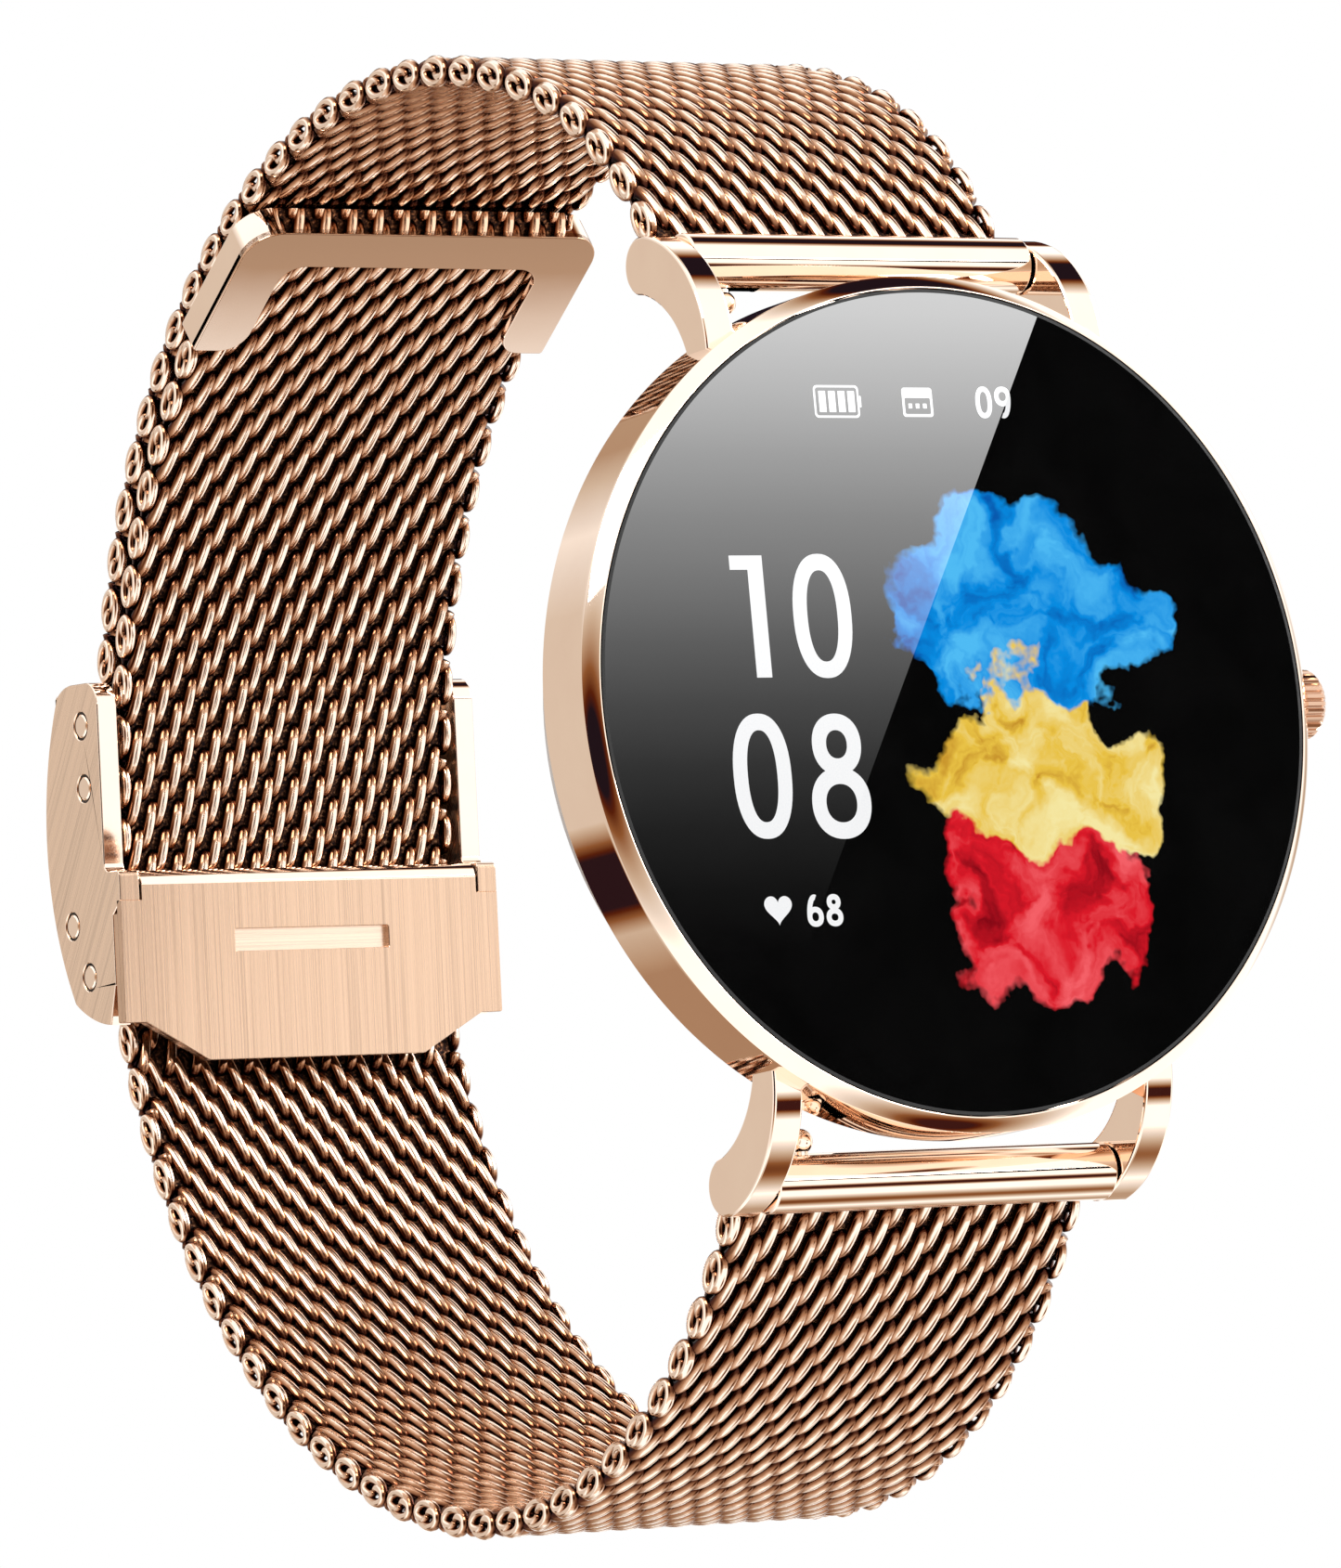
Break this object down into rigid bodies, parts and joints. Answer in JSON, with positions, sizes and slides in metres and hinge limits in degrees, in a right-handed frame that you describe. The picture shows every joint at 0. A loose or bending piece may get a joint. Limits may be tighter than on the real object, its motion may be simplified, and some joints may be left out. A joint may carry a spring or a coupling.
{
  "type": "smartwatch",
  "caption": "Round smartwatch with a polished metal case, a push-and-turn crown and a woven wire band closed by a folding clasp.",
  "frame": {"origin": "centre of the case's wrist-side face", "axes": "+X towards the crown at 3 o'clock, +Y from the dial into the band's loop, +Z towards 12 o'clock"},
  "size_m": [0.0441, 0.0714, 0.075],
  "materials": {
    "rose_polished": "polished rose-gold plating on steel",
    "rose_brushed": "brushed rose-gold plating on steel",
    "rose_mesh": "polished rose-gold steel wire",
    "steel": "plain stainless steel",
    "glass": "black glass",
    "display": "black display panel",
    "rubber": "black rubber",
    "plastic": "black plastic",
    "board": "green circuit board",
    "battery_foil": "silver foil",
    "contacts": "gold-plated contacts"
  },
  "bodies": {
    "case": {"case_body": "rose_polished", "bezel_ring": "rose_polished", "cover_glass": "glass", "display_gasket": "rubber", "display_panel": "display", "inner_frame": "plastic", "battery": "battery_foil", "main_board": "board", "processor_shield": "steel", "board_connector": "plastic", "vibration_motor": "steel", "crown_switch": "plastic", "crown_tube": "steel", "back_gasket": "rubber", "back_cover": "steel", "back_screws": "steel", "sensor_board": "board", "sensor_leds": "contacts", "sensor_window": "glass", "charging_pins": "contacts"},
    "crown_carrier": {"crown_clip": "steel"},
    "crown": {"crown_stem": "steel", "crown_oring": "rubber", "crown_cap": "rose_polished"},
    "upper_band": {"upper_end_tube": "rose_polished", "upper_bar_barrel": "steel", "upper_mesh_root": "rose_mesh", "upper_mesh_a": "rose_mesh", "upper_mesh_b": "rose_mesh", "upper_mesh_c": "rose_mesh", "hook_ferrule": "rose_polished", "hook_bar": "steel"},
    "upper_release": {"upper_bar_tip": "steel", "upper_release_pin": "rose_polished"},
    "lower_band": {"lower_end_tube": "rose_polished", "lower_bar_barrel": "steel", "lower_mesh_root": "rose_mesh", "lower_mesh_a": "rose_mesh", "lower_mesh_b": "rose_mesh", "lower_mesh_c": "rose_mesh", "tail_bend": "rose_mesh", "tail_straight": "rose_mesh", "tail_mesh_a": "rose_mesh", "tail_mesh_b": "rose_mesh", "keeper": "rose_polished"},
    "lower_release": {"lower_bar_tip": "steel", "lower_release_pin": "rose_polished"},
    "clasp": {"clasp_frame": "rose_brushed", "clasp_rivets": "rose_polished", "lock_pin": "steel", "cover_hinge_pins": "rose_polished"},
    "cover": {"clasp_cover": "rose_brushed", "cover_claw": "steel"},
    "lock": {"lock_plate": "rose_brushed"}
  },
  "joints": [
    {"name": "crown_push", "type": "slide", "parent": "case", "child": "crown_carrier", "axis": [-1, 0, 0], "range_m": [0, 0.0004], "stiffness_N_per_m": 1500},
    {"name": "crown_turn", "type": "hinge", "parent": "crown_carrier", "child": "crown", "pos_m": [0.021, -0.0061, 0], "axis": [1, 0, 0], "continuous": true},
    {"name": "upper_bar_hinge", "type": "hinge", "parent": "case", "child": "upper_band", "pos_m": [0, -0.0032, 0.0226], "axis": [1, 0, 0], "range_deg": [0, 14]},
    {"name": "upper_quick_release", "type": "slide", "parent": "upper_band", "child": "upper_release", "axis": [1, 0, 0], "range_m": [0, 0.0012], "stiffness_N_per_m": 800},
    {"name": "lower_bar_hinge", "type": "hinge", "parent": "case", "child": "lower_band", "pos_m": [0, -0.0032, -0.0226], "axis": [-1, 0, 0], "range_deg": [0, 7]},
    {"name": "lower_quick_release", "type": "slide", "parent": "lower_band", "child": "lower_release", "axis": [1, 0, 0], "range_m": [0, 0.0012], "stiffness_N_per_m": 800},
    {"name": "clasp_slide", "type": "slide", "parent": "lower_band", "child": "clasp", "axis": [0, -0.1564, 0.9877], "range_m": [0, 0.0025]},
    {"name": "cover_hinge", "type": "hinge", "parent": "clasp", "child": "cover", "pos_m": [0, 0.05998, -0.00148], "axis": [-1, 0, 0], "range_deg": [0, 140]},
    {"name": "lock_hinge", "type": "hinge", "parent": "clasp", "child": "lock", "pos_m": [0, 0.05524, 0.0001], "axis": [-1, 0, 0], "range_deg": [0, 60]}
  ],
  "couplings": [
    {"joint": "upper_bar_hinge", "follows": "cover_hinge", "ratio": 0.1},
    {"joint": "lower_bar_hinge", "follows": "cover_hinge", "ratio": 0.05}
  ]
}
